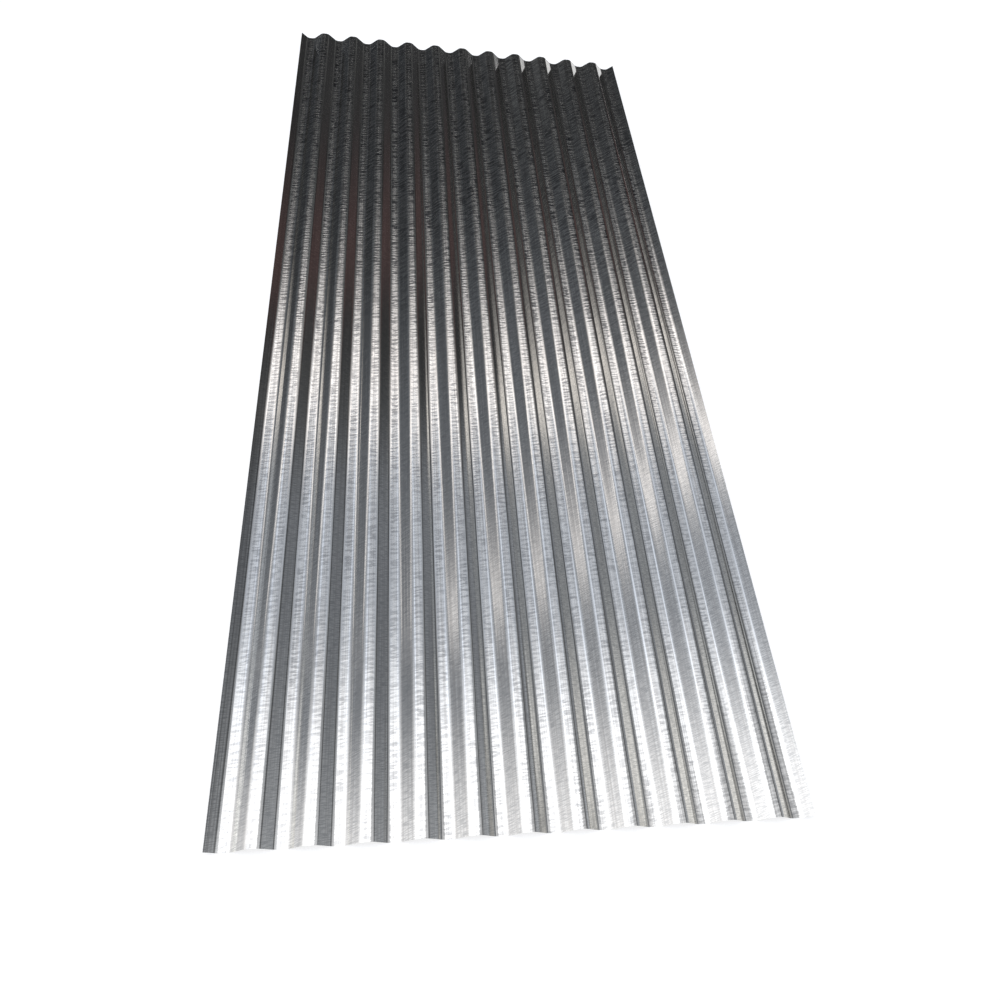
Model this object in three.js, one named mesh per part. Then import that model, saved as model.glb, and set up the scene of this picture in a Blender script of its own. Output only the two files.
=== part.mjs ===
// Corrugated metal sheet with 11 full waves, roll formed from a strip of galvanised steel.
// Units are millimetres. X runs across the waves, Y along them and Z up.
// The origin is on the floor, under the middle of the sheet as it lies on its valleys.

import * as THREE from "three";

// Driving dimensions
const stripWidth = 1000; // width of the flat strip before it is formed
const sheetLength = 2100; // cut length, along the waves
const thickness = 0.4; // steel with its zinc coat
const pitch = 76; // crest to crest
const waveHeight = 17; // valley's underside to crest's top
const tipWidth = 6; // the level strip that the rolls press along the tip of each crest and valley
const bendRadius = 15; // from the tip into the flank, at mid thickness
const crestCount = 11; // full waves; there is one more valley than crests
const bendSteps = 12; // turns of each crest and valley, half of them on each side of its tip

// Half a wave at mid thickness is half a tip, an arc, a straight flank, the opposite arc and half a tip.
// The flank leans at the angle at which it meets both arcs smoothly:
//   pitch / 2              = tipWidth + 2 * bendRadius * sin(lean) + length * cos(lean)
//   waveHeight - thickness = 2 * bendRadius * (1 - cos(lean)) + length * sin(lean)
function waveFlank() {
  const run = pitch / 2 - tipWidth;
  const rise = waveHeight - thickness;
  const diameter = 2 * bendRadius;
  const lean = Math.atan2(run, diameter - rise) - Math.acos(diameter / Math.hypot(run, diameter - rise));
  const length = (run - diameter * Math.sin(lean)) / Math.cos(lean);
  return { lean, length };
}

const flank = waveFlank();
const bendLength = tipWidth + 2 * bendRadius * flank.lean;
const stripPerWave = 2 * (bendLength + flank.length);

// The strip left over from the full waves is shared by the two sheared edges. Each edge climbs out of an
// outer valley and stops on the flank, short of the next crest.
const edgeStrip = (stripWidth - crestCount * stripPerWave) / 2;
const edgeFlank = edgeStrip - bendLength / 2;

// Heights of the centres that the arcs turn around
const crestCentreZ = waveHeight - thickness / 2 - bendRadius;
const valleyCentreZ = thickness / 2 + bendRadius;

// One crest or valley of one face, from left to right: an arc, the tip and an arc. The arcs are drawn as
// short flats that touch the true arc and meet the tip and the flanks. up is 1 for a crest and -1 for a
// valley.
function bendPoints(centreX, up, faceRadius) {
  const turn = (2 * flank.lean) / bendSteps;
  const cornerRadius = faceRadius / Math.cos(turn / 2);
  const centreZ = up > 0 ? crestCentreZ : valleyCentreZ;
  return Array.from({ length: bendSteps }, (_, i) => {
    const angle = (i + 0.5) * turn - flank.lean;
    const arcX = centreX + (Math.sign(angle) * tipWidth) / 2;
    return new THREE.Vector2(
      arcX + cornerRadius * Math.sin(angle),
      centreZ + up * cornerRadius * Math.cos(angle),
    );
  });
}

// One face of the sheet, from its left edge to its right edge. side is 1 for the top face and -1 for the
// underside, each half the thickness away from mid thickness.
function facePoints(side) {
  const outerValleyX = (crestCount * pitch) / 2;
  const outerRadius = bendRadius - (side * thickness) / 2;
  const arcEndX = outerValleyX + tipWidth / 2 + outerRadius * Math.sin(flank.lean);
  const edgeX = arcEndX + edgeFlank * Math.cos(flank.lean);
  const edgeZ = valleyCentreZ - outerRadius * Math.cos(flank.lean) + edgeFlank * Math.sin(flank.lean);

  const points = [new THREE.Vector2(-edgeX, edgeZ)];
  for (let i = 0; i <= 2 * crestCount; i++) {
    const up = i % 2 ? 1 : -1;
    const centreX = (i * pitch) / 2 - outerValleyX;
    points.push(...bendPoints(centreX, up, bendRadius + (up * side * thickness) / 2));
  }
  points.push(new THREE.Vector2(edgeX, edgeZ));
  return points;
}

function waveSection() {
  return new THREE.Shape([...facePoints(-1), ...facePoints(1).reverse()]);
}

function zincCoatedSteel() {
  return new THREE.MeshStandardMaterial({ color: 0xa9adb0, roughness: 0.3, metalness: 1 });
}

// The section is drawn upright and extruded, then turned so that its length lies along Y.
function corrugatedSheet() {
  const geometry = new THREE.ExtrudeGeometry(waveSection(), { depth: sheetLength, bevelEnabled: false });
  const sheet = new THREE.Mesh(geometry, zincCoatedSteel());
  sheet.name = "corrugated_sheet";
  sheet.rotation.x = Math.PI / 2;
  sheet.position.y = sheetLength / 2;
  return sheet;
}

const part = new THREE.Group();
part.add(corrugatedSheet());

export default part;
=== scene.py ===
# %% [markdown]
# # A corrugated steel sheet
#
# The real object is one piece. A flat strip of steel, dipped in molten zinc, runs through pairs of shaped
# rolls that fold it into rounded waves, and is sheared off to length. This lesson makes the same sheet in
# the same order: a flat strip, the rolling, then the zinc with the marks that the rolls leave on it.
#
# The sheet is bright metal, so most of what the eye sees on it is a mirror image of what stands around it.
# That makes the studio as important as the material, and it gets its own cells at the end.

import math

import bpy
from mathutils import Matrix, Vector


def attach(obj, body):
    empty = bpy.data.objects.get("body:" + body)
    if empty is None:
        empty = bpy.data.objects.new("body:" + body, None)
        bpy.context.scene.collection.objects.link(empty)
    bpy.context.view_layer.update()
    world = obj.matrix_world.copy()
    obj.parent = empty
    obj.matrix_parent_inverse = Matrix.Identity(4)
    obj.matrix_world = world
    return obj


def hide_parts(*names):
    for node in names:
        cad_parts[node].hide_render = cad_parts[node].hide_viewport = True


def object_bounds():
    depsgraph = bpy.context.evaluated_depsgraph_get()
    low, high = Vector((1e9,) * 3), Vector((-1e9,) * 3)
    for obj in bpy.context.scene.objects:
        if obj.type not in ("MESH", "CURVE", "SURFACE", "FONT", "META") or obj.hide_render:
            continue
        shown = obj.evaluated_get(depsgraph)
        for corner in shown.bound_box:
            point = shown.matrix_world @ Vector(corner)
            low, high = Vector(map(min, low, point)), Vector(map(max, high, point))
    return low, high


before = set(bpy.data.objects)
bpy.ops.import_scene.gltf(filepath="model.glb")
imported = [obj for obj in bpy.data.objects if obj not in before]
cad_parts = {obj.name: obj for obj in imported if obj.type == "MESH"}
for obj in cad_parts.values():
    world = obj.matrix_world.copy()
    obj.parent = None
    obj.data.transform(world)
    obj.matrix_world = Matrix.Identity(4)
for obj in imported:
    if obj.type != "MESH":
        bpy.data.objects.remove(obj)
cad_low, cad_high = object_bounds()
print("CAD box:", [round(v, 4) for v in cad_low], [round(v, 4) for v in cad_high])

# %% [markdown]
# ## Two small helpers
#
# Colours are written as they look on a screen, such as "#c6c8ca", and Blender's shaders count in linear
# light, so one function turns the first into the second. The other adds a node to a tree. It takes a plain
# value, a socket or a whole node for each input, so that a tree reads like a list of what feeds what.


# %% Helpers
def linear(hex_colour):
    """An sRGB hex colour as linear red, green, blue and alpha."""
    channels = [int(hex_colour[i : i + 2], 16) / 255 for i in (1, 3, 5)]
    return [c / 12.92 if c <= 0.04045 else ((c + 0.055) / 1.055) ** 2.4 for c in channels] + [1.0]


def add(tree, kind, inputs=(), **settings):
    """Adds a node. inputs maps a socket's name or number to a value, a socket, or a node's first output."""
    node = tree.nodes.new(kind)
    for name, value in settings.items():
        setattr(node, name, value)
    for key, value in dict(inputs).items():
        if isinstance(value, bpy.types.Node):
            value = value.outputs[0]
        if isinstance(value, bpy.types.NodeSocket):
            tree.links.new(value, node.inputs[key])
        else:
            node.inputs[key].default_value = value
    return node


# %% [markdown]
# ## The sizes
#
# The sheet's length and height come from the frame. The wave itself repeats every 76 mm. The rolls press a
# level strip 6 mm wide along the tip of each crest and valley, and bends of 15 mm radius turn from the tip
# into straight flanks. The angle of the flanks isn't free. It is the one at which a flank leaves one bend
# and enters the next without a kink.

# %% The wave's section, in metres
millimetre = 0.001
pitch = 76 * millimetre
thickness = 0.4 * millimetre
tip_width = 6 * millimetre
bend_radius = 15 * millimetre
strip_width = 1000 * millimetre
sheet_length = cad_high.y - cad_low.y
wave_height = cad_high.z - cad_low.z

mid_height = wave_height - thickness
run = pitch / 2 - tip_width
chord = math.hypot(run, 2 * bend_radius - mid_height)
lean = math.atan2(run, 2 * bend_radius - mid_height) - math.acos(2 * bend_radius / chord)
flank_length = (run - 2 * bend_radius * math.sin(lean)) / math.cos(lean)
arc_length = bend_radius * lean
strip_per_bend = tip_width + 2 * arc_length + flank_length
strip_per_wave_mm = 2 * strip_per_bend / millimetre
print(f"flanks lean {math.degrees(lean):.2f} degrees; each wave takes {strip_per_wave_mm:.2f} mm of strip")

# %% [markdown]
# ## Rolling the strip
#
# A wave that follows a rule is work for Geometry Nodes. The tree starts from a flat grid as wide as the
# strip and gives it its thickness. Then one Set Position does what the rolls do: it moves each point from
# its place on the flat strip to its place on the wave, with no stretching. Points at the tip of a wave stay
# level, the next ones wrap around the bend's radius, and the rest go straight on along the flank.
#
# Real sheet is springy and never quite even, so two slow noises let the waves sag and sway by a fraction of
# a millimetre. That is too little to see as a shape, but it bends every reflection slightly, and without it
# the bright lines on the metal would be ruler straight.

# %% A tree that rolls a flat strip into waves
roll_inputs = {
    "Strip Width": strip_width,
    "Length": sheet_length,
    "Thickness": thickness,
    "Pitch": pitch,
    "Wave Height": wave_height,
    "Half Tip": tip_width / 2,
    "Bend Radius": bend_radius,
    "Arc Length": arc_length,
    "Strip Per Bend": strip_per_bend,
    "Sag": 0.022,
    "Sway": 0.45 * millimetre,
    "Steps Across": 960,
    "Steps Along": 46,
    "Material": None,
}

roll = bpy.data.node_groups.new("roll_forming", "GeometryNodeTree")
roll.interface.new_socket("Geometry", in_out="INPUT", socket_type="NodeSocketGeometry")
roll_sockets = {}
for name, value in roll_inputs.items():
    kind = {float: "NodeSocketFloat", int: "NodeSocketInt"}.get(type(value), "NodeSocketMaterial")
    roll_sockets[name] = roll.interface.new_socket(name, in_out="INPUT", socket_type=kind)
roll.interface.new_socket("Geometry", in_out="OUTPUT", socket_type="NodeSocketGeometry")
given = add(roll, "NodeGroupInput").outputs

# %% The flat strip: a grid, its underside and its sheared walls
merge_distance = 0.01 * millimetre
sheared_corner = 1.0  # radians; the bends turn far less than this from one point to the next
rows = add(roll, "ShaderNodeMath", {0: given["Steps Along"], 1: 1.0}, operation="ADD")
columns = add(roll, "ShaderNodeMath", {0: given["Steps Across"], 1: 1.0}, operation="ADD")
grid = add(roll, "GeometryNodeMeshGrid", {
    "Size X": given["Strip Width"], "Size Y": given["Length"], "Vertices X": columns, "Vertices Y": rows,
})
smooth_grid = add(roll, "GeometryNodeSetShadeSmooth", {"Geometry": grid, "Shade Smooth": True})
top = add(roll, "GeometryNodeExtrudeMesh", {
    "Mesh": smooth_grid, "Offset": (0, 0, 1), "Offset Scale": given["Thickness"], "Individual": False,
})
underside = add(roll, "GeometryNodeFlipFaces", {"Mesh": smooth_grid})
slab = add(roll, "GeometryNodeJoinGeometry")
roll.links.new(underside.outputs[0], slab.inputs[0])
roll.links.new(top.outputs["Mesh"], slab.inputs[0])
whole = add(roll, "GeometryNodeMergeByDistance", {"Geometry": slab, "Distance": merge_distance})
edge_angle = add(roll, "GeometryNodeInputMeshEdgeAngle")
sharp = add(roll, "ShaderNodeMath", {0: edge_angle, 1: sheared_corner}, operation="GREATER_THAN")
strip = add(roll, "GeometryNodeSetShadeSmooth", {
    "Geometry": whole, "Selection": sharp, "Shade Smooth": False,
}, domain="EDGE")

# %% Where each point is on its bend
flat_place = add(roll, "GeometryNodeInputPosition")
flat = add(roll, "ShaderNodeSeparateXYZ", {0: flat_place}).outputs
bend_place = add(roll, "ShaderNodeMath", {0: flat["X"], 1: given["Strip Per Bend"]}, operation="DIVIDE")
bend_number = add(roll, "ShaderNodeMath", {0: bend_place}, operation="ROUND")
bend_middle = add(roll, "ShaderNodeMath", {0: bend_number, 1: given["Strip Per Bend"]}, operation="MULTIPLY")
from_middle = add(roll, "ShaderNodeMath", {0: flat["X"], 1: bend_middle}, operation="SUBTRACT")
tip_left = add(roll, "ShaderNodeMath", {0: given["Half Tip"], 1: -1.0}, operation="MULTIPLY")
on_tip = add(roll, "ShaderNodeClamp", {"Value": from_middle, "Min": tip_left, "Max": given["Half Tip"]})
past_tip = add(roll, "ShaderNodeMath", {0: from_middle, 1: on_tip}, operation="SUBTRACT")
arc_left = add(roll, "ShaderNodeMath", {0: given["Arc Length"], 1: -1.0}, operation="MULTIPLY")
on_arc = add(roll, "ShaderNodeClamp", {"Value": past_tip, "Min": arc_left, "Max": given["Arc Length"]})
on_flank = add(roll, "ShaderNodeMath", {0: past_tip, 1: on_arc}, operation="SUBTRACT")
turn = add(roll, "ShaderNodeMath", {0: on_arc, 1: given["Bend Radius"]}, operation="DIVIDE")
sine = add(roll, "ShaderNodeMath", {0: turn}, operation="SINE")
cosine = add(roll, "ShaderNodeMath", {0: turn}, operation="COSINE")
half_turns = add(roll, "ShaderNodeMath", {0: bend_number, 1: math.pi}, operation="MULTIPLY")
crest_or_valley = add(roll, "ShaderNodeMath", {0: half_turns}, operation="COSINE")  # 1 or -1
half_thickness = add(roll, "ShaderNodeMath", {0: given["Thickness"], 1: 0.5}, operation="MULTIPLY")
off_middle = add(roll, "ShaderNodeMath", {0: flat["Z"], 1: half_thickness}, operation="SUBTRACT")

# %% Across: bend middle, tip, radius * sine, flank * cosine, and the thickness along the normal
half_pitch = add(roll, "ShaderNodeMath", {0: given["Pitch"], 1: 0.5}, operation="MULTIPLY")
bend_x = add(roll, "ShaderNodeMath", {0: bend_number, 1: half_pitch}, operation="MULTIPLY")
tip_x = add(roll, "ShaderNodeMath", {0: bend_x, 1: on_tip}, operation="ADD")
arc_x = add(roll, "ShaderNodeMath", {0: sine, 1: given["Bend Radius"], 2: tip_x}, operation="MULTIPLY_ADD")
mid_x = add(roll, "ShaderNodeMath", {0: on_flank, 1: cosine, 2: arc_x}, operation="MULTIPLY_ADD")
normal_x = add(roll, "ShaderNodeMath", {0: sine, 1: crest_or_valley}, operation="MULTIPLY")
wave_x = add(roll, "ShaderNodeMath", {0: off_middle, 1: normal_x, 2: mid_x}, operation="MULTIPLY_ADD")

# %% Up: from the bend's tip, down by radius * (1 - cosine) and by flank * sine
half_height = add(roll, "ShaderNodeMath", {0: given["Wave Height"], 1: 0.5}, operation="MULTIPLY")
tip = add(roll, "ShaderNodeMath", {0: half_height, 1: half_thickness}, operation="SUBTRACT")
tip_less_radius = add(roll, "ShaderNodeMath", {0: tip, 1: given["Bend Radius"]}, operation="SUBTRACT")
arc_z = add(roll, "ShaderNodeMath", {
    0: cosine, 1: given["Bend Radius"], 2: tip_less_radius,
}, operation="MULTIPLY_ADD")
fall = add(roll, "ShaderNodeMath", {0: on_flank, 1: sine}, operation="MULTIPLY")
mid_z = add(roll, "ShaderNodeMath", {0: arc_z, 1: fall}, operation="SUBTRACT")
signed_z = add(roll, "ShaderNodeMath", {
    0: mid_z, 1: crest_or_valley, 2: half_height,
}, operation="MULTIPLY_ADD")
wave_z = add(roll, "ShaderNodeMath", {0: off_middle, 1: cosine, 2: signed_z}, operation="MULTIPLY_ADD")

# %% The springy unevenness: a slow sag of the height, and a slow sway that dies out at both edges
sags_per_metre, sways_per_metre = 5.5, 6.5
sway_shift = (3.0, 7.0, 0.0)  # metres; keeps the sway apart from the sag
sag_place = add(roll, "ShaderNodeCombineXYZ", {"X": bend_x, "Y": flat["Y"]})
sag_noise = add(roll, "ShaderNodeTexNoise", {"Vector": sag_place, "Scale": sags_per_metre, "Detail": 1.5})
sag_share = add(roll, "ShaderNodeMath", {0: sag_noise, 1: given["Sag"]}, operation="MULTIPLY")
sag_keep = add(roll, "ShaderNodeMath", {0: 1.0, 1: sag_share}, operation="SUBTRACT")
final_z = add(roll, "ShaderNodeMath", {0: wave_z, 1: sag_keep}, operation="MULTIPLY")

sway_place = add(roll, "ShaderNodeVectorMath", {0: sag_place, 1: sway_shift}, operation="ADD")
sway_noise = add(roll, "ShaderNodeTexNoise", {"Vector": sway_place, "Scale": sways_per_metre, "Detail": 2.0})
sway_side = add(roll, "ShaderNodeMath", {0: sway_noise, 1: 0.5}, operation="SUBTRACT")
edge_share = add(roll, "ShaderNodeMath", {0: flat["X"], 1: given["Strip Width"]}, operation="DIVIDE")
edge_double = add(roll, "ShaderNodeMath", {0: edge_share, 1: 2.0}, operation="MULTIPLY")
edge_square = add(roll, "ShaderNodeMath", {0: edge_double, 1: edge_double}, operation="MULTIPLY")
inside = add(roll, "ShaderNodeMath", {0: 1.0, 1: edge_square}, operation="SUBTRACT")
sway_here = add(roll, "ShaderNodeMath", {0: sway_side, 1: inside}, operation="MULTIPLY")
final_x = add(roll, "ShaderNodeMath", {0: sway_here, 1: given["Sway"], 2: wave_x}, operation="MULTIPLY_ADD")

# %% Roll it, and end the tree
rolled_place = add(roll, "ShaderNodeCombineXYZ", {"X": final_x, "Y": flat["Y"], "Z": final_z})
rolled = add(roll, "GeometryNodeSetPosition", {"Geometry": strip, "Position": rolled_place})
realized = add(roll, "GeometryNodeRealizeInstances", {"Geometry": rolled})
finished = add(roll, "GeometryNodeSetMaterial", {"Geometry": realized, "Material": given["Material"]})
add(roll, "NodeGroupOutput", {"Geometry": finished})
print("the rolling tree has", len(roll.nodes), "nodes")

# %% [markdown]
# ## The zinc
#
# The material is hot-dip galvanised steel with a bright, nearly spangle-free coat. Zinc is a metal, so it
# has no body colour under its mirror: metallic is 1 and the base colour is the tint of its reflections, a
# light grey that a thin film of oxide turns faintly straw.
#
# Rolling leaves four kinds of marks on it. The strip judders between the rolls, which leaves a comb of
# short ripples, some of them darker, across the tips and the flanks that face left. The tips take the
# pressure, so a narrow band along each of them is scuffed and a little blurred. The flanks slide along the
# rolls, which leaves faint slanted hatching. And the rolls' own wear draws fine lines along the whole
# sheet. All of them are too fine for the mesh, so they are heights and colours in the material.

# %% The material, with its place on the sheet measured in millimetres
zinc = bpy.data.materials.new("bright_galvanised_steel")
zinc.use_nodes = True
skin = zinc.node_tree
skin.nodes.clear()

on_sheet = add(skin, "ShaderNodeTexCoord").outputs["Object"]
in_mm = add(skin, "ShaderNodeVectorMath", {0: on_sheet, "Scale": 1 / millimetre}, operation="SCALE")
mm = add(skin, "ShaderNodeSeparateXYZ", {0: in_mm}).outputs

# %% Where on its wave a point is: how far from the nearest tip, and on a flank that faces left or right
quarter_pitch_mm = pitch / 4 / millimetre
flank_starts, flank_full = 6.0, 13.0  # these six are millimetres from the middle of a tip
scuff_full, scuff_ends = 1.5, 5.0
comb_full, comb_ends = 5.0, 9.0
from_tip = add(skin, "ShaderNodeMath", {0: mm["X"], 1: quarter_pitch_mm}, operation="PINGPONG")
flank_share = add(skin, "ShaderNodeMapRange", {
    "Value": from_tip, "From Min": flank_starts, "From Max": flank_full,
}, interpolation_type="SMOOTHSTEP")
scuff_share = add(skin, "ShaderNodeMapRange", {
    "Value": from_tip, "From Min": scuff_ends, "From Max": scuff_full,
}, interpolation_type="SMOOTHSTEP")
comb_on_tip = add(skin, "ShaderNodeMapRange", {
    "Value": from_tip, "From Min": comb_ends, "From Max": comb_full,
}, interpolation_type="SMOOTHSTEP")
turns = add(skin, "ShaderNodeMath", {0: mm["X"], 1: 2 * math.pi * millimetre / pitch}, operation="MULTIPLY")
falls_to_right = add(skin, "ShaderNodeMath", {0: turns}, operation="SINE")  # from -1 to 1 over each wave
left_flank_starts, left_flank_full = 0.1, -0.5
faces_left = add(skin, "ShaderNodeMapRange", {
    "Value": falls_to_right, "From Min": left_flank_starts, "From Max": left_flank_full,
}, interpolation_type="SMOOTHSTEP")


# %% Long grains of noise, which all the marks are drawn with
def grain(across_mm, along_mm, across, along, detail=2.0, shift=0.0):
    """Noise whose grains measure across_mm on one coordinate, across, and along_mm on the other, along."""
    grains_across = add(skin, "ShaderNodeMath", {0: across, 1: 1 / across_mm}, operation="MULTIPLY")
    grains_along = add(skin, "ShaderNodeMath", {0: along, 1: 1 / along_mm}, operation="MULTIPLY")
    where = add(skin, "ShaderNodeCombineXYZ", {"X": grains_across, "Y": grains_along, "Z": shift})
    return add(skin, "ShaderNodeTexNoise", {"Vector": where, "Scale": 1.0, "Detail": detail})


dash_shift, patch_shift, roll_line_shift = 7.0, 3.0, 11.0  # keep one noise apart from another

# %% The ripples: a comb of short marks across the sheet, deeper in some patches and toward the far end
comb_skew = -0.12  # a comb tooth's fall for each millimetre across
askew = add(skin, "ShaderNodeMath", {0: mm["X"], 1: comb_skew, 2: mm["Y"]}, operation="MULTIPLY_ADD")
ripple = grain(across_mm=20.0, along_mm=4.6, across=mm["X"], along=askew, detail=2.5)
dash_noise = grain(across_mm=20.0, along_mm=3.0, across=mm["X"], along=askew, shift=dash_shift)
dash = add(skin, "ShaderNodeMapRange", {
    "Value": dash_noise, "From Min": 0.60, "From Max": 0.70,
}, interpolation_type="SMOOTHSTEP")
patch_noise = grain(across_mm=30.0, along_mm=90.0, across=mm["X"], along=mm["Y"], shift=patch_shift)
shallow_patch = 0.50
patch = add(skin, "ShaderNodeMapRange", {
    "Value": patch_noise, "From Min": 0.30, "From Max": 0.70, "To Min": shallow_patch,
}, interpolation_type="SMOOTHSTEP")

# %% Where the comb is: on the tips all along, and on the flanks that face left mostly in the far half
comb_grows_from, flank_comb_grows_from, comb_full_from = -600.0, -300.0, 500.0  # millimetres along
near_share, near_flank_share, far_flank_share = 0.42, 0.20, 0.75
comb_grows = add(skin, "ShaderNodeMapRange", {
    "Value": mm["Y"], "From Min": comb_grows_from, "From Max": comb_full_from, "To Min": near_share,
}, interpolation_type="SMOOTHSTEP")
comb_share = add(skin, "ShaderNodeMath", {0: patch, 1: comb_grows}, operation="MULTIPLY")
flank_comb_grows = add(skin, "ShaderNodeMapRange", {
    "Value": mm["Y"], "From Min": flank_comb_grows_from, "From Max": comb_full_from,
    "To Min": near_flank_share, "To Max": far_flank_share,
}, interpolation_type="SMOOTHSTEP")
comb_on_flank = add(skin, "ShaderNodeMath", {0: faces_left, 1: flank_comb_grows}, operation="MULTIPLY")
comb_place = add(skin, "ShaderNodeMath", {0: comb_on_tip, 1: comb_on_flank}, operation="MAXIMUM")
comb = add(skin, "ShaderNodeMath", {0: comb_place, 1: comb_share}, operation="MULTIPLY")

# %% The hatching: fine lines that rise at a slant
slant = math.radians(15)
along_part = add(skin, "ShaderNodeMath", {0: mm["Y"], 1: math.sin(slant)}, operation="MULTIPLY")
along_line = add(skin, "ShaderNodeMath", {
    0: mm["X"], 1: math.cos(slant), 2: along_part,
}, operation="MULTIPLY_ADD")
across_part = add(skin, "ShaderNodeMath", {0: mm["Y"], 1: math.cos(slant)}, operation="MULTIPLY")
across_line = add(skin, "ShaderNodeMath", {
    0: mm["X"], 1: -math.sin(slant), 2: across_part,
}, operation="MULTIPLY_ADD")
hatch = grain(across_mm=11.0, along_mm=1.5, across=along_line, along=across_line)

# %% Their heights together bend the reflections
ripple_mm, scuff_mm, hatch_mm, roll_line_mm = 0.33, 0.05, 0.02, 0.08
comb_depth = add(skin, "ShaderNodeMath", {0: comb, 1: ripple_mm}, operation="MULTIPLY")
ripple_depth = add(skin, "ShaderNodeMath", {
    0: scuff_share, 1: scuff_mm, 2: comb_depth,
}, operation="MULTIPLY_ADD")
ripple_height = add(skin, "ShaderNodeMath", {0: ripple, 1: ripple_depth}, operation="MULTIPLY")
hatch_here = add(skin, "ShaderNodeMath", {0: hatch, 1: flank_share}, operation="MULTIPLY")
hatch_height = add(skin, "ShaderNodeMath", {0: hatch_here, 1: hatch_mm}, operation="MULTIPLY")
roll_line = grain(across_mm=3.5, along_mm=500.0, across=mm["X"], along=mm["Y"], shift=roll_line_shift)
roll_line_height = add(skin, "ShaderNodeMath", {0: roll_line, 1: roll_line_mm}, operation="MULTIPLY")
fine_height = add(skin, "ShaderNodeMath", {0: hatch_height, 1: roll_line_height}, operation="ADD")
height_mm = add(skin, "ShaderNodeMath", {0: ripple_height, 1: fine_height}, operation="ADD")
relief = add(skin, "ShaderNodeBump", {"Strength": 1.0, "Distance": millimetre, "Height": height_mm})

# %% Colour: straw-grey zinc with lengthwise streaks, duller hatching, and darker comb ripples and dashes
streak = grain(across_mm=2.6, along_mm=320.0, across=mm["X"], along=mm["Y"])
streak_share = add(skin, "ShaderNodeMapRange", {
    "Value": streak, "From Min": 0.35, "From Max": 0.65,
}, interpolation_type="SMOOTHSTEP")
clean = add(skin, "ShaderNodeMixRGB", {
    "Fac": streak_share, "Color1": linear("#c0bdb7"), "Color2": linear("#d5d3cd"),
})
hatch_line = add(skin, "ShaderNodeMapRange", {
    "Value": hatch, "From Min": 0.40, "From Max": 0.64,
}, interpolation_type="SMOOTHSTEP")
hatch_share = add(skin, "ShaderNodeMath", {0: hatch_line, 1: flank_share}, operation="MULTIPLY")
hatched = add(skin, "ShaderNodeMixRGB", {
    "Fac": hatch_share, "Color1": clean, "Color2": linear("#b0afab"),
})
# The comb makes the colour darker where its ripples stand high, and in scattered short dashes
comb_line = add(skin, "ShaderNodeMapRange", {
    "Value": ripple, "From Min": 0.45, "From Max": 0.57,
}, interpolation_type="SMOOTHSTEP")
darker_comb_share = add(skin, "ShaderNodeMath", {0: comb, 1: comb_line}, operation="MULTIPLY")
combed = add(skin, "ShaderNodeMixRGB", {
    "Fac": darker_comb_share, "Color1": hatched, "Color2": linear("#4e4f52"),
})
dash_share = add(skin, "ShaderNodeMath", {0: comb, 1: dash}, operation="MULTIPLY")
marked = add(skin, "ShaderNodeMixRGB", {
    "Fac": dash_share, "Color1": combed, "Color2": linear("#646568"),
})

# %% The coat. Its blur runs along the sheet, strongest in the scuffed band
clean_roughness, scuffed_roughness = 0.08, 0.11
coat_roughness = add(skin, "ShaderNodeMapRange", {
    "Value": scuff_share, "To Min": clean_roughness, "To Max": scuffed_roughness,
}, interpolation_type="SMOOTHSTEP")
lengthwise = add(skin, "ShaderNodeVectorTransform", {"Vector": (0, 1, 0)},
                 vector_type="VECTOR", convert_from="OBJECT", convert_to="WORLD")
coat = add(skin, "ShaderNodeBsdfPrincipled", {
    "Base Color": marked, "Metallic": 1.0, "Roughness": coat_roughness,
    "Anisotropic": 0.95, "Tangent": lengthwise, "Normal": relief,
})
add(skin, "ShaderNodeOutputMaterial", {"Surface": coat})
print("the zinc has", len(skin.nodes), "nodes")

# %% Roll the strip and take the result as a plain mesh
blank = bpy.data.objects.new("blank", bpy.data.meshes.new("blank"))
bpy.context.scene.collection.objects.link(blank)
rolls = blank.modifiers.new("rolls", "NODES")
rolls.node_group = roll
roll_inputs["Material"] = zinc
for name, value in roll_inputs.items():
    rolls[roll_sockets[name].identifier] = value

depsgraph = bpy.context.evaluated_depsgraph_get()
sheet_mesh = bpy.data.meshes.new_from_object(blank.evaluated_get(depsgraph))
bpy.data.objects.remove(blank)
sheet = bpy.data.objects.new("rolled_sheet", sheet_mesh)
bpy.context.scene.collection.objects.link(sheet)
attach(sheet, "root")
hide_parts("corrugated_sheet")
print("the sheet has", sum(len(p.vertices) - 2 for p in sheet_mesh.polygons), "triangles")

# %% [markdown]
# ## The floor
#
# A plain white floor. For the camera, for what the metal mirrors and for rays through anything clear, part
# of its white comes from an emission, so that it reads as white paper and still keeps the sheet's shadow.
# Far from the sheet there is no shadow to keep, and the emission alone is white, so that no horizon shows.

# %% Floor
floor_reach = 30.0
floor_mesh = bpy.data.meshes.new("floor")
floor_mesh.from_pydata(
    [(-floor_reach, -floor_reach, 0), (floor_reach, -floor_reach, 0),
     (floor_reach, floor_reach, 0), (-floor_reach, floor_reach, 0)], [], [(0, 1, 2, 3)])
floor = bpy.data.objects.new("floor", floor_mesh)
bpy.context.scene.collection.objects.link(floor)
print("the floor is", 2 * floor_reach, "metres wide")

# %% Its paper
paper = bpy.data.materials.new("white_paper")
paper.use_nodes = True
page = paper.node_tree
page.nodes.clear()
floor_mesh.materials.append(paper)

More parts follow.
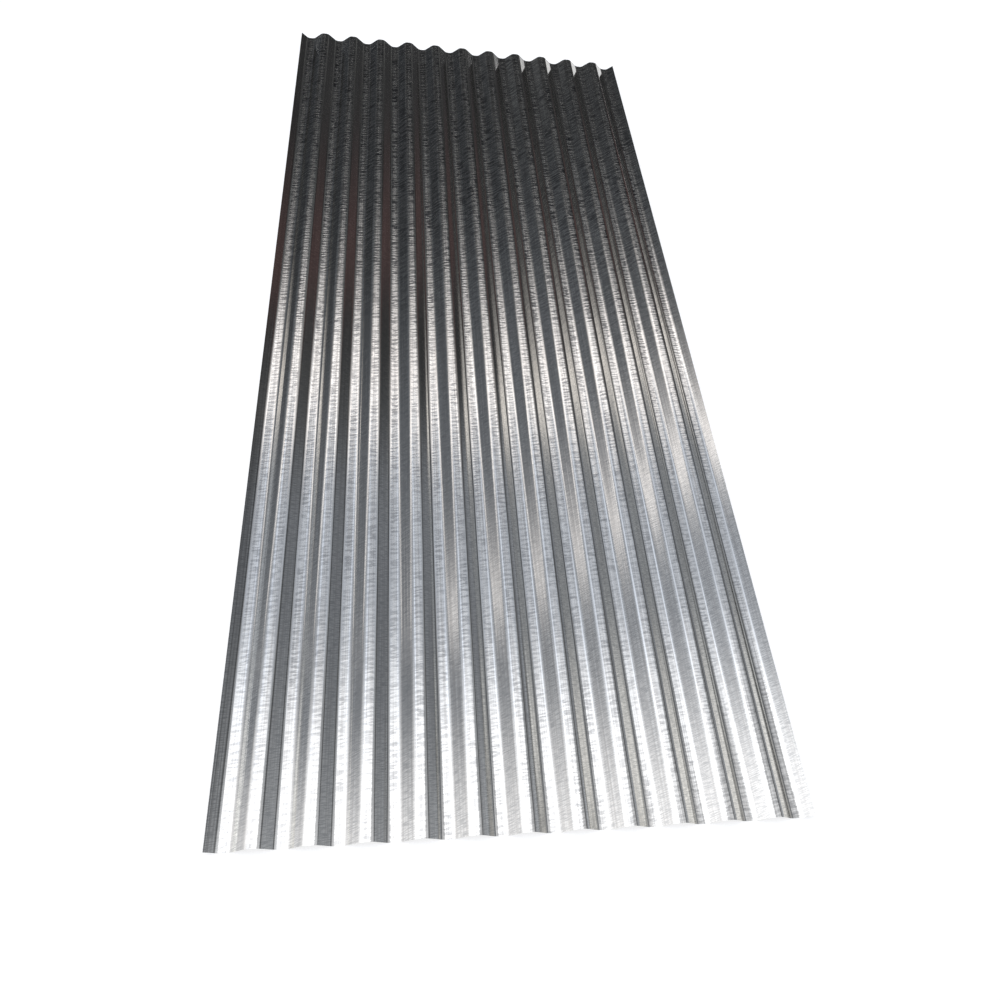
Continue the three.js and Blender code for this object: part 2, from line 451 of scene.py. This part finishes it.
glow_near, glow_far = 0.69, 1.0
near_reach, far_reach = 1.5, 7.0  # metres from the middle of the sheet
rays = add(page, "ShaderNodeLightPath").outputs
direct = add(page, "ShaderNodeMath", {
    0: rays["Is Camera Ray"], 1: rays["Is Transmission Ray"],
}, operation="MAXIMUM")
seen = add(page, "ShaderNodeMath", {0: direct, 1: rays["Is Glossy Ray"]}, operation="MAXIMUM")
floor_place = add(page, "ShaderNodeTexCoord").outputs["Object"]
from_sheet = add(page, "ShaderNodeVectorMath", {0: floor_place}, operation="LENGTH").outputs["Value"]
glow_strength = add(page, "ShaderNodeMapRange", {
    "Value": from_sheet, "From Min": near_reach, "From Max": far_reach,
    "To Min": glow_near, "To Max": glow_far,
}, interpolation_type="SMOOTHSTEP")
matt = add(page, "ShaderNodeBsdfDiffuse", {"Color": linear("#f2f2f2")})
dimmed = add(page, "ShaderNodeBsdfDiffuse", {"Color": linear("#b0b0b0")})
glow = add(page, "ShaderNodeEmission", {"Color": linear("#ffffff"), "Strength": glow_strength})
bright = add(page, "ShaderNodeAddShader", {0: dimmed, 1: glow})
paper_shader = add(page, "ShaderNodeMixShader", {0: seen, 1: matt, 2: bright})
add(page, "ShaderNodeOutputMaterial", {"Surface": paper_shader})
print("the paper has", len(page.nodes), "nodes")

# %% [markdown]
# ## What the metal mirrors
#
# Bright metal is lit with what it reflects. Here that is painted on the inside of one large dome, which the
# camera doesn't see. A point of the dome is named by its slopes, how far across and how far along it lies
# for each metre of height, because a level bit of metal mirrors a straight band of those slopes. Along is
# away from the camera.
#
# A large soft light hangs overhead and dims slowly toward the back. Ahead of it a grey scrim falls off to a
# black flag, low down. Under them hang a narrow warm strip, across the sheet, and a narrow bluish tube,
# lengthwise. A grey wall stands at the right, with a dark gap before it and a small brown-red panel at its
# far end, and straight ahead, low down, there is a pale backdrop.
#
# Each light is soft at its edges, so most of them are a smooth Map Range of a slope.

# %% The studio dome
dome_radius = 40.0
dome_rings, dome_sides = 24, 64
dip = 0.02  # radians; the rim is this far under the horizon, and the top ring this far from the zenith
dome_points = []
for ring in range(dome_rings + 1):
    tilt = math.pi / 2 * (1 - ring / dome_rings) - dip
    for side in range(dome_sides):
        bearing = 2 * math.pi * side / dome_sides
        dome_points.append((dome_radius * math.cos(tilt) * math.cos(bearing),
                            dome_radius * math.cos(tilt) * math.sin(bearing),
                            dome_radius * math.sin(tilt)))
dome_faces = [
    (r * dome_sides + s, r * dome_sides + (s + 1) % dome_sides,
     (r + 1) * dome_sides + (s + 1) % dome_sides, (r + 1) * dome_sides + s)
    for r in range(dome_rings) for s in range(dome_sides)
]
dome_faces.append(tuple(range(dome_sides)))
dome_mesh = bpy.data.meshes.new("studio_dome")
dome_mesh.from_pydata(dome_points, [], dome_faces)
dome = bpy.data.objects.new("studio_dome", dome_mesh)
bpy.context.scene.collection.objects.link(dome)
dome.visible_camera = False
print("the dome has", len(dome_faces), "faces")

# %% The dome's rows of lights, each from behind the camera to far ahead
# A row starts with a brightness and a tint. Each line after it is the soft edge of the row's next light: the
# slopes along where the edge starts and ends, and the brightness and the tint past it.
middle_start = (0.42, "#f4f7ff")
middle_edges = [
    (-1.20, -0.20, 1.10, "#f4f7ff"),  # the back of the overhead light
    (-0.20, 0.20, 2.70, "#f4f7ff"),  # its middle
    (0.17, 0.47, 0.84, "#e5eeff"),  # the grey scrim
    (0.52, 1.22, 0.16, "#f0f6ff"),  # the black flag
    (1.15, 2.00, 0.055, "#f4f7ff"),  # its far end
]
left_start = (0.38, "#f8f9ff")
left_edges = [
    (-1.20, -0.20, 0.90, "#f8f9ff"),
    (-0.20, 0.20, 2.00, "#f8f9ff"),
    (0.05, 0.67, 0.40, "#e6efff"),
    (0.40, 2.50, 0.075, "#eaf2ff"),
]
right_start = (0.38, "#f4f7ff")
right_edges = [
    (-1.20, -0.20, 0.85, "#f4f7ff"),
    (-0.20, 0.15, 1.40, "#f4f7ff"),
    (0.08, 0.36, 0.54, "#eef4ff"),
    (0.30, 1.20, 0.31, "#e8f0ff"),
    (1.90, 3.40, 0.07, "#e8f0ff"),
]
strip_start = (0.0, "#ffffff")
strip_edges = [
    (0.70, 0.82, 0.40, "#fffdff"),  # its near skirt
    (0.80, 0.90, 2.30, "#fffafa"),  # the tube itself
    (0.90, 1.04, 0.66, "#fffbfc"),  # its far skirt
    (1.00, 1.29, 0.0, "#ffffff"),
]

# %% The material of the lights. They are broad, so rays find them unaimed, and the render is quicker
lights = bpy.data.materials.new("studio_lights")
lights.cycles.emission_sampling = "NONE"
lights.use_nodes = True
studio = lights.node_tree
studio.nodes.clear()
dome_mesh.materials.append(lights)

level_top = 3.5  # brightness is held as a share of this, so that each light's colour stays under 1


def at_level(colour, level=1.0):
    """A linear colour at a brightness, as a share of level_top. At 1 it keeps its own brightness."""
    return [c * level / level_top for c in colour[:3]] + [1.0]


def light_row(slope, start, edges):
    """A row of lights along one slope socket, with a soft edge from each light to the next."""
    level, tint = start
    row = at_level(linear(tint), level)
    for edge_starts, edge_ends, level, tint in edges:
        past_edge = add(studio, "ShaderNodeMapRange", {
            "Value": slope, "From Min": edge_starts, "From Max": edge_ends,
        }, interpolation_type="SMOOTHSTEP")
        row = add(studio, "ShaderNodeMixRGB", {
            "Fac": past_edge, "Color1": row, "Color2": at_level(linear(tint), level),
        })
    return row


# %% A point's slopes across and along the sheet
lowest = 0.02 * dome_radius  # below this height the slopes grow no further
dome_place = add(studio, "ShaderNodeTexCoord").outputs["Object"]
place = add(studio, "ShaderNodeSeparateXYZ", {0: dome_place}).outputs
height = add(studio, "ShaderNodeMath", {0: place["Z"], 1: lowest}, operation="MAXIMUM")
across = add(studio, "ShaderNodeMath", {0: place["X"], 1: height}, operation="DIVIDE")
along = add(studio, "ShaderNodeMath", {0: place["Y"], 1: height}, operation="DIVIDE")

# %% The lights arch over the sheet, so away from the middle the same light lies further along
arch = 0.2
left_starts, left_full = -0.3, -1.8
across_square = add(studio, "ShaderNodeMath", {0: across, 1: across}, operation="MULTIPLY")
bow_square = add(studio, "ShaderNodeMath", {0: across_square, 1: arch, 2: 1.0}, operation="MULTIPLY_ADD")
bow = add(studio, "ShaderNodeMath", {0: bow_square}, operation="SQRT")
arched = add(studio, "ShaderNodeMath", {0: along, 1: bow}, operation="DIVIDE")
left_share = add(studio, "ShaderNodeMapRange", {
    "Value": across, "From Min": left_starts, "From Max": left_full,
}, interpolation_type="SMOOTHSTEP")
middle_and_left = add(studio, "ShaderNodeMixRGB", {
    "Fac": left_share, "Color1": light_row(arched, middle_start, middle_edges),
    "Color2": light_row(arched, left_start, left_edges),
})

# %% The right wall. Low down, past wall_slope across, its lights turn into upright bands and brighten
wall_slope = 3.0
low_slope, low_gain = 10.0, 1.5
far_across = add(studio, "ShaderNodeMath", {0: across, 1: wall_slope}, operation="MAXIMUM")
wall_along = add(studio, "ShaderNodeMath", {0: along, 1: wall_slope}, operation="MULTIPLY")
wall_place = add(studio, "ShaderNodeMath", {0: wall_along, 1: far_across}, operation="DIVIDE")
wall_gain = add(studio, "ShaderNodeMapRange", {
    "Value": across, "From Min": wall_slope, "From Max": low_slope, "To Min": 1.0, "To Max": low_gain,
}, interpolation_type="SMOOTHSTEP")
right_wall = add(studio, "ShaderNodeMixRGB", {
    "Fac": 1.0, "Color1": light_row(wall_place, right_start, right_edges), "Color2": wall_gain,
}, blend_type="MULTIPLY")

# %% Further ahead the wall's soft edge stands further aside
overhead_starts, overhead_ends = 0.08, 0.15  # where the soft edge is overhead
aside_starts, aside_ends = 1.05, 1.45  # how far it moves aside for each slope ahead
ahead = add(studio, "ShaderNodeMath", {0: along, 1: 0.0}, operation="MAXIMUM")
edge_starts = add(studio, "ShaderNodeMath", {
    0: ahead, 1: aside_starts, 2: overhead_starts,
}, operation="MULTIPLY_ADD")
edge_ends = add(studio, "ShaderNodeMath", {
    0: ahead, 1: aside_ends, 2: overhead_ends,
}, operation="MULTIPLY_ADD")
wall_share = add(studio, "ShaderNodeMapRange", {
    "Value": across, "From Min": edge_starts, "From Max": edge_ends,
}, interpolation_type="SMOOTHSTEP")
room = add(studio, "ShaderNodeMixRGB", {
    "Fac": wall_share, "Color1": middle_and_left, "Color2": right_wall,
})

# %% The dark gap runs lengthwise
gap_level = 0.35
gap_starts, gap_full, gap_lifts, gap_ends = 1.0, 1.35, 1.75, 2.1
gap_left = add(studio, "ShaderNodeMapRange", {
    "Value": across, "From Min": gap_starts, "From Max": gap_full, "To Min": 1.0, "To Max": gap_level,
}, interpolation_type="SMOOTHSTEP")
gap_right = add(studio, "ShaderNodeMapRange", {
    "Value": across, "From Min": gap_lifts, "From Max": gap_ends, "To Max": 1.0 - gap_level,
}, interpolation_type="SMOOTHSTEP")
gap_shade = add(studio, "ShaderNodeMath", {0: gap_left, 1: gap_right}, operation="ADD")
shaded = add(studio, "ShaderNodeMixRGB", {
    "Fac": 1.0, "Color1": room, "Color2": gap_shade,
}, blend_type="MULTIPLY")

# %% The warm strip. It swings nearer at the left and just right of the middle, and away at the far right
strip_swings = [  # slope across where it starts and where it is full, and how much nearer the strip comes
    (-0.7, -1.7, 0.11),
    (0.15, 0.4, 0.06),
    (0.5, 1.5, -0.19),
]
left_swing, middle_swing, right_swing = [
    add(studio, "ShaderNodeMapRange", {
        "Value": across, "From Min": starts, "From Max": full, "To Max": nearer,
    }, interpolation_type="SMOOTHSTEP")
    for starts, full, nearer in strip_swings
]
near_swing = add(studio, "ShaderNodeMath", {0: left_swing, 1: middle_swing}, operation="ADD")
swing = add(studio, "ShaderNodeMath", {0: near_swing, 1: right_swing}, operation="ADD")
strip_place = add(studio, "ShaderNodeMath", {0: arched, 1: swing}, operation="ADD")

# %% It dims toward the left, and ends at the right along a slanted line
left_level, far_left_level = 0.45, 0.15
far_left_starts, far_left_full = -2.4, -3.1
end_slant, end_from, end_to = 1.4, -0.85, -0.35
strip_left = add(studio, "ShaderNodeMapRange", {
    "Value": across, "From Min": left_starts, "From Max": left_full, "To Min": 1.0, "To Max": left_level,
}, interpolation_type="SMOOTHSTEP")
strip_far_left = add(studio, "ShaderNodeMapRange", {
    "Value": across, "From Min": far_left_starts, "From Max": far_left_full,
    "To Min": 1.0, "To Max": far_left_level,
}, interpolation_type="SMOOTHSTEP")
end_starts = add(studio, "ShaderNodeMath", {0: along, 1: end_slant, 2: end_from}, operation="MULTIPLY_ADD")
end_stops = add(studio, "ShaderNodeMath", {0: along, 1: end_slant, 2: end_to}, operation="MULTIPLY_ADD")
strip_right = add(studio, "ShaderNodeMapRange", {
    "Value": across, "From Min": end_starts, "From Max": end_stops, "To Min": 1.0, "To Max": 0.0,
}, interpolation_type="SMOOTHSTEP")
strip_sides = add(studio, "ShaderNodeMath", {0: strip_left, 1: strip_right}, operation="MULTIPLY")
strip_share = add(studio, "ShaderNodeMath", {0: strip_sides, 1: strip_far_left}, operation="MULTIPLY")
with_strip = add(studio, "ShaderNodeMixRGB", {
    "Fac": strip_share, "Color1": shaded, "Color2": light_row(strip_place, strip_start, strip_edges),
}, blend_type="ADD")

# %% The bluish tube hangs lengthwise, a little to the left, and stops short of the strip
tube_level = 0.52
tube_right_edge, tube_right_full = -0.14, -0.26  # slopes across
tube_left_edge, tube_left_full = -0.60, -0.42
tube_end_edge, tube_end_full = 0.90, 0.72  # slopes along
tube_right = add(studio, "ShaderNodeMapRange", {
    "Value": across, "From Min": tube_right_edge, "From Max": tube_right_full,
}, interpolation_type="SMOOTHSTEP")
tube_left = add(studio, "ShaderNodeMapRange", {
    "Value": across, "From Min": tube_left_edge, "From Max": tube_left_full,
}, interpolation_type="SMOOTHSTEP")
tube_end = add(studio, "ShaderNodeMapRange", {
    "Value": along, "From Min": tube_end_edge, "From Max": tube_end_full,
}, interpolation_type="SMOOTHSTEP")
tube_width = add(studio, "ShaderNodeMath", {0: tube_right, 1: tube_left}, operation="MULTIPLY")
tube_share = add(studio, "ShaderNodeMath", {0: tube_width, 1: tube_end}, operation="MULTIPLY")
with_tube = add(studio, "ShaderNodeMixRGB", {
    "Fac": tube_share, "Color1": with_strip, "Color2": at_level(linear("#dce8ff"), tube_level),
}, blend_type="ADD")

# %% The brown-red panel stands low down at the far right, between two headings
panel_from, panel_full, panel_to = math.radians(28), math.radians(38), math.radians(43)
panel_top, panel_top_full = 0.9, 2.0  # slopes along
heading = add(studio, "ShaderNodeMath", {0: place["X"], 1: place["Y"]}, operation="ARCTAN2")
panel_left = add(studio, "ShaderNodeMapRange", {
    "Value": heading, "From Min": panel_from, "From Max": panel_full,
}, interpolation_type="SMOOTHSTEP")
panel_right = add(studio, "ShaderNodeMapRange", {
    "Value": heading, "From Min": panel_to, "From Max": panel_full,
}, interpolation_type="SMOOTHSTEP")
panel_low = add(studio, "ShaderNodeMapRange", {
    "Value": along, "From Min": panel_top, "From Max": panel_top_full,
}, interpolation_type="SMOOTHSTEP")
panel_width = add(studio, "ShaderNodeMath", {0: panel_left, 1: panel_right}, operation="MULTIPLY")
panel_share = add(studio, "ShaderNodeMath", {0: panel_width, 1: panel_low}, operation="MULTIPLY")
with_panel = add(studio, "ShaderNodeMixRGB", {
    "Fac": panel_share, "Color1": with_tube, "Color2": at_level(linear("#5b4b4c")),
})

# %% The pale backdrop straight ahead, low down
backdrop_side, backdrop_side_full = 2.0, 1.0
backdrop_top, backdrop_top_full = 2.4, 4.5
to_side = add(studio, "ShaderNodeMath", {0: across}, operation="ABSOLUTE")
straight_ahead = add(studio, "ShaderNodeMapRange", {
    "Value": to_side, "From Min": backdrop_side, "From Max": backdrop_side_full,
}, interpolation_type="SMOOTHSTEP")
low_ahead = add(studio, "ShaderNodeMapRange", {
    "Value": along, "From Min": backdrop_top, "From Max": backdrop_top_full,
}, interpolation_type="SMOOTHSTEP")
pale_share = add(studio, "ShaderNodeMath", {0: straight_ahead, 1: low_ahead}, operation="MULTIPLY")
with_backdrop = add(studio, "ShaderNodeMixRGB", {
    "Fac": pale_share, "Color1": with_panel, "Color2": at_level(linear("#aaacaf")),
})
shine = add(studio, "ShaderNodeEmission", {"Color": with_backdrop, "Strength": level_top})
add(studio, "ShaderNodeOutputMaterial", {"Surface": shine})
print("the studio lights have", len(studio.nodes), "nodes")

# %% World: plain white behind everything
world = bpy.data.worlds.new("white_backdrop")
bpy.context.scene.world = world
world.use_nodes = True
world.node_tree.nodes.clear()
white = add(world.node_tree, "ShaderNodeBackground", {"Color": linear("#ffffff"), "Strength": 1.0})
add(world.node_tree, "ShaderNodeOutputWorld", {"Surface": white})

# %% [markdown]
# ## The camera
#
# It stands close to the near end, a little left of the middle, and looks down along the sheet.

# %% Camera
camera_place = Vector((-0.2140, -1.2710, 1.2101))
camera_forward = Vector((0.1708, 0.5416, -0.8231))
camera_right = Vector((0.9852, -0.0841, 0.1491))
picture_width = 1000
focal_pixels = 800.78
centre_x_pixels, centre_y_pixels = 519.60, 500.50

camera_data = bpy.data.cameras.new("camera")
camera = bpy.data.objects.new("camera", camera_data)
bpy.context.scene.collection.objects.link(camera)
bpy.context.scene.camera = camera
camera_data.sensor_fit = "HORIZONTAL"
camera_data.sensor_width = 36.0
camera_data.lens = camera_data.sensor_width * focal_pixels / picture_width
camera_data.shift_x = (picture_width / 2 - centre_x_pixels) / picture_width
camera_data.shift_y = (centre_y_pixels - picture_width / 2) / picture_width
camera_data.clip_end = 200.0

forward = camera_forward.normalized()
right = (camera_right - forward * camera_right.dot(forward)).normalized()
up = right.cross(forward)
turned = camera.matrix_world.copy()
for row in range(3):
    turned[row][0], turned[row][1], turned[row][2] = right[row], up[row], -forward[row]
    turned[row][3] = camera_place[row]
camera.matrix_world = turned
print("the lens is", round(camera_data.lens, 1), "mm")

# %% Colours come out as they are
bpy.context.scene.view_settings.view_transform = "Standard"
